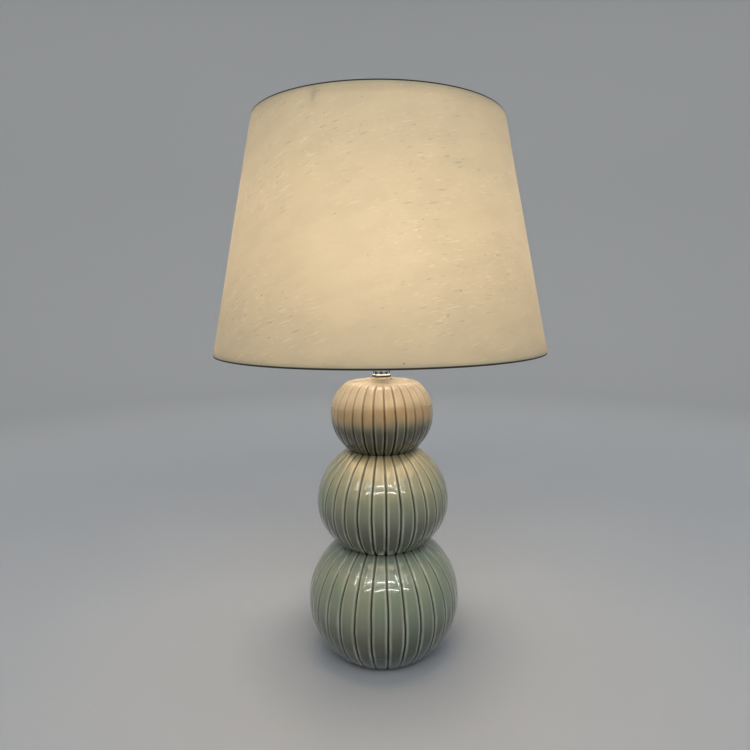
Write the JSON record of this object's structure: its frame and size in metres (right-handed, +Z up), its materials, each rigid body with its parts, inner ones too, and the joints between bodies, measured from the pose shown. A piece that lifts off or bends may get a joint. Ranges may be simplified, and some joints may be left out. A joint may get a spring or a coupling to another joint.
{
  "type": "table lamp",
  "caption": "Table lamp: fluted ceramic body of stacked globes on a felted foot, nickel neck, socket with turn switch, harp and finial under a tapered fabric shade.",
  "frame": {"origin": "centre of the foot's underside, on the surface the lamp stands on", "axes": "+Z up the lamp's axis, -Y to the front of the lamp, +X to the right seen from the front"},
  "size_m": [0.4064, 0.4062, 0.6699],
  "materials": {
    "glaze": "glossy celadon glaze, darker where it pools in the grooves",
    "felt": "dense dark felt",
    "zinc_steel": "zinc-plated",
    "dark_plastic": "moulded",
    "rubber": "matte",
    "nickel": "polished nickel plate",
    "socket_brass": "brass plate",
    "fibre": "pressed fibre",
    "phenolic": "moulded",
    "bulb_metal": "bright drawn",
    "opal_glass": "frosted inside",
    "linen": "slubbed natural weave",
    "shade_sheet": "translucent lining sheet",
    "white_enamel": "white enamel"
  },
  "bodies": {
    "root": {"ceramic_body": "glaze", "base_felt": "felt", "base_plate": "zinc_steel", "base_washer": "zinc_steel", "base_nut": "zinc_steel", "threaded_rod": "zinc_steel", "cord_grommet": "dark_plastic", "top_gasket": "rubber", "neck": "nickel", "harp_saddle": "nickel", "lock_nut": "nickel", "socket_cap": "socket_brass", "socket_shell": "socket_brass", "socket_insulator": "fibre", "socket_block": "phenolic", "screw_shell": "socket_brass", "centre_contact": "socket_brass", "terminal_screws": "socket_brass"},
    "switch": {"switch_spindle": "nickel", "switch_knob": "dark_plastic"},
    "bulb": {"bulb_cap": "bulb_metal", "bulb_glass": "opal_glass"},
    "harp": {"harp_bow": "nickel"},
    "sleeve_left": {"harp_sleeve_left": "nickel"},
    "sleeve_right": {"harp_sleeve_right": "nickel"},
    "stud": {"harp_stud": "nickel"},
    "shade": {"shade_fabric": "linen", "shade_backing": "shade_sheet", "bottom_ring": "white_enamel", "top_ring": "white_enamel", "shade_spider": "white_enamel"},
    "finial": {"finial": "nickel"}
  },
  "joints": [
    {"name": "switch_turn", "type": "hinge", "parent": "root", "child": "switch", "pos_m": [0, 0, 0.4069], "axis": [0, -1, 0], "continuous": true},
    {"name": "bulb_unscrew", "type": "slide", "parent": "root", "child": "bulb", "axis": [0, 0, 1], "range_m": [0, 0.028]},
    {"name": "harp_lift", "type": "slide", "parent": "root", "child": "harp", "axis": [0, 0, 1], "range_m": [0, 0.3]},
    {"name": "sleeve_left_slide", "type": "slide", "parent": "harp", "child": "sleeve_left", "axis": [0, 0, 1], "range_m": [0, 0.011]},
    {"name": "sleeve_right_slide", "type": "slide", "parent": "harp", "child": "sleeve_right", "axis": [0, 0, 1], "range_m": [0, 0.011]},
    {"name": "shade_turn", "type": "hinge", "parent": "harp", "child": "stud", "pos_m": [0, 0, 0.6316], "axis": [0, 0, 1], "continuous": true},
    {"name": "shade_lift", "type": "slide", "parent": "stud", "child": "shade", "axis": [0, 0, 1], "range_m": [0, 0.33]},
    {"name": "finial_unscrew", "type": "slide", "parent": "shade", "child": "finial", "axis": [0, 0, 1], "range_m": [0, 0.06]}
  ]
}
